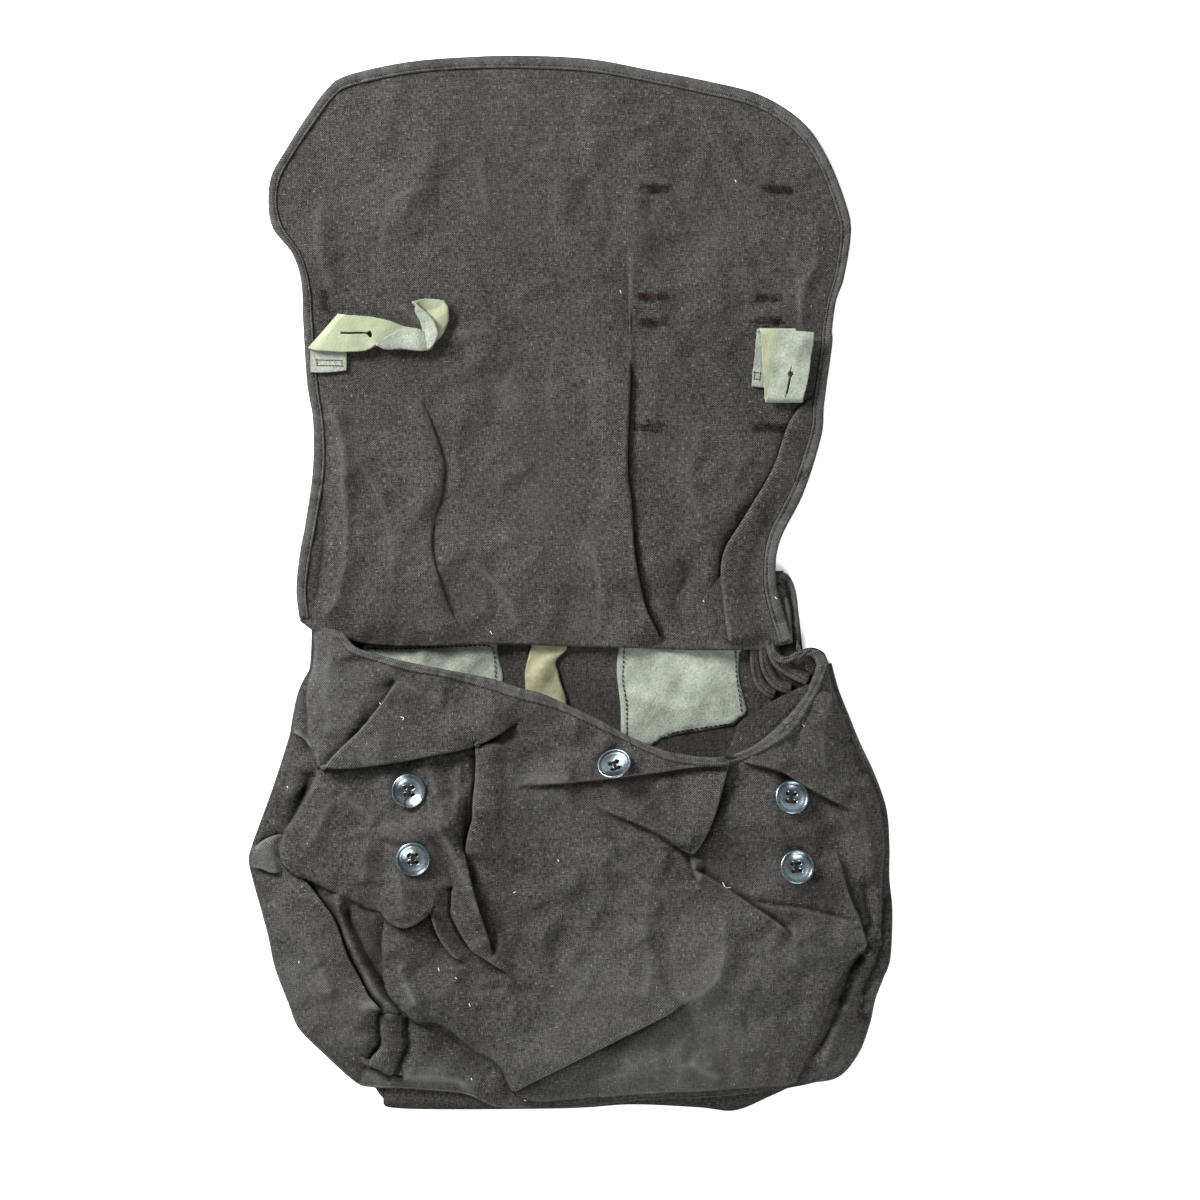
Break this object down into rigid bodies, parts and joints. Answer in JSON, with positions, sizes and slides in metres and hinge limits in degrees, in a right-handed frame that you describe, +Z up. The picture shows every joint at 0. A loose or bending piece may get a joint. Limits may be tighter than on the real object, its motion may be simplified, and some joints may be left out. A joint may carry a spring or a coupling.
{
  "type": "haversack",
  "caption": "Slack canvas haversack lying open on its back, its hemmed flap thrown up, with suede patches inside, leather tabs on the flap and dish buttons on the front.",
  "frame": {"origin": "under the middle of the whole object, on the surface that it lies on", "axes": "+Y from the bag's bottom to the open flap's tip, +X to the right seen from above, +Z up, out of the bag's front"},
  "size_m": [0.3188, 0.5313, 0.0296],
  "materials": {
    "canvas": "matt twill",
    "hem_canvas": "matt twill, worn",
    "suede": "suede",
    "pale_leather": "smooth, dry",
    "dull_metal": "dulled"
  },
  "bodies": {
    "root": {"back_and_flap": "canvas", "front_panel": "canvas", "gusset": "canvas", "mouth_facing": "canvas", "flap_hem": "hem_canvas", "mouth_hem": "hem_canvas", "gusset_fold_low": "hem_canvas", "gusset_fold_high": "hem_canvas", "corner_band": "hem_canvas", "patch_left": "suede", "patch_right": "suede", "tab_left": "suede", "tab_right": "suede", "inner_strap": "pale_leather", "button_upper_left": "dull_metal", "button_lower_left": "dull_metal", "button_upper_right": "dull_metal", "button_lower_right": "dull_metal", "button_centre": "dull_metal"}
  },
  "joints": []
}
